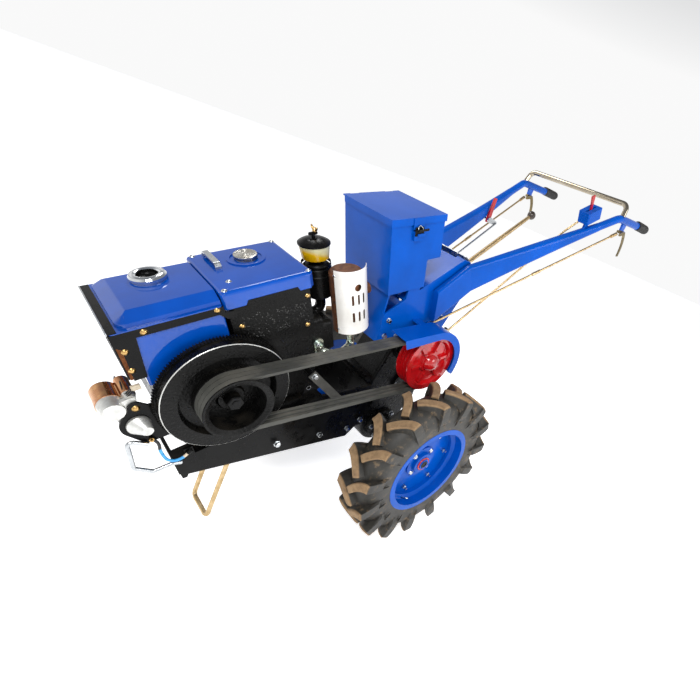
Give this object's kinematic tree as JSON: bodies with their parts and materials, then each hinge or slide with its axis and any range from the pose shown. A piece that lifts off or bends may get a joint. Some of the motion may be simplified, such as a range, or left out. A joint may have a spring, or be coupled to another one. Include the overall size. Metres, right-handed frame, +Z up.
{
  "type": "walking tractor",
  "caption": "Two-wheeled walking tractor with a tilted single-cylinder engine, V-belt drive, front stand, toolbox and long handlebars.",
  "frame": {"origin": "on the floor under the middle of the machine's bounding box", "axes": "+X to the rear, towards the handlebars' grips; +Y to the machine's right-hand side; +Z up from the floor that the tyres and the stand meet"},
  "size_m": [1.9707, 0.7888, 1.373],
  "materials": {
    "blue_paint": "glossy enamel",
    "black_paint": "satin enamel",
    "black_casting": "painted casting",
    "tyre": "moulded",
    "red_paint": "enamel",
    "white_paint": "satin",
    "zinc": "zinc plated",
    "brass_zinc": "yellow passivated",
    "chrome": "polished",
    "belt_rubber": "dusty",
    "black_rubber": "moulded",
    "aluminium": "cast",
    "starter_gold": "passivated steel",
    "copper_core": "finned core",
    "rusty_steel": "heat browned",
    "amber_bowl": "clear, yellow oil behind",
    "lead": "insulated lead"
  },
  "bodies": {
    "machine": {"air_cleaner": "black_paint", "axle_housing_left": "black_casting", "axle_housing_right": "black_casting", "belt_guard": "blue_paint", "chassis_frame": "black_paint", "clutch_housing": "black_casting", "clutch_lever": "red_paint", "clutch_link": "zinc", "crossbar": "chrome", "cylinder_head": "black_casting", "engine_block": "black_casting", "engine_frame_left": "black_paint", "engine_frame_right": "black_paint", "exhaust_pipe": "chrome", "front_guard_rod": "zinc", "fuel_cap": "chrome", "fuel_tank": "blue_paint", "gear_lever": "brass_zinc", "gearbox": "black_casting", "grip_left": "black_rubber", "grip_right": "black_rubber", "handle_frame": "blue_paint", "handlebar_left": "blue_paint", "handlebar_right": "blue_paint", "heat_shield": "white_paint", "hitch_bracket": "black_casting", "intake_elbow": "black_paint", "muffler": "rusty_steel", "precleaner_bowl": "amber_bowl", "precleaner_lid": "black_paint", "radiator_core": "copper_core", "radiator_cover": "blue_paint", "radiator_filler": "chrome", "radiator_grille": "black_paint", "radiator_shroud": "blue_paint", "shift_gate": "zinc", "starter_bracket": "black_paint", "starter_drive": "aluminium", "starter_lead": "lead", "starter_motor": "starter_gold", "steering_lever_left": "zinc", "steering_lever_right": "zinc", "steering_rod_left": "brass_zinc", "steering_rod_right": "brass_zinc", "tank_handle": "zinc", "throttle_box": "blue_paint", "throttle_lever": "red_paint", "throttle_rod": "brass_zinc", "toolbox": "blue_paint", "v_belts": "belt_rubber"},
    "wheel_left": {"tyre_left": "tyre", "rim_left": "blue_paint"},
    "wheel_right": {"tyre_right": "tyre", "rim_right": "blue_paint"},
    "engine_rotor": {"flywheel": "black_casting", "crank_pulley": "black_casting"},
    "clutch_rotor": {"clutch_pulley": "red_paint", "clutch_hub": "red_paint"},
    "stand": {"front_stand": "brass_zinc"},
    "lid": {"toolbox_lid": "blue_paint"}
  },
  "joints": [
    {"name": "wheel_left_spin", "type": "hinge", "parent": "machine", "child": "wheel_left", "pos_m": [-0.1435, -0.325, 0.296], "axis": [0, 1, 0], "continuous": true},
    {"name": "wheel_right_spin", "type": "hinge", "parent": "machine", "child": "wheel_right", "pos_m": [-0.1435, 0.325, 0.296], "axis": [0, 1, 0], "continuous": true},
    {"name": "engine_spin", "type": "hinge", "parent": "machine", "child": "engine_rotor", "pos_m": [-0.7485, -0.137, 0.557], "axis": [0, 1, 0], "continuous": true},
    {"name": "clutch_spin", "type": "hinge", "parent": "machine", "child": "clutch_rotor", "pos_m": [-0.1315, -0.182, 0.632], "axis": [0, 1, 0], "continuous": true},
    {"name": "stand_fold", "type": "hinge", "parent": "machine", "child": "stand", "pos_m": [-0.6485, 0.027, 0.328], "axis": [0, -1, 0], "range_deg": [0, 95]},
    {"name": "lid_hinge", "type": "hinge", "parent": "machine", "child": "lid", "pos_m": [-0.28771, 0.122, 1.0692], "axis": [-0.9613, 0, -0.2756], "range_deg": [0, 100]}
  ],
  "couplings": [
    {"joint": "clutch_spin", "follows": "engine_spin", "ratio": 0.7525}
  ]
}
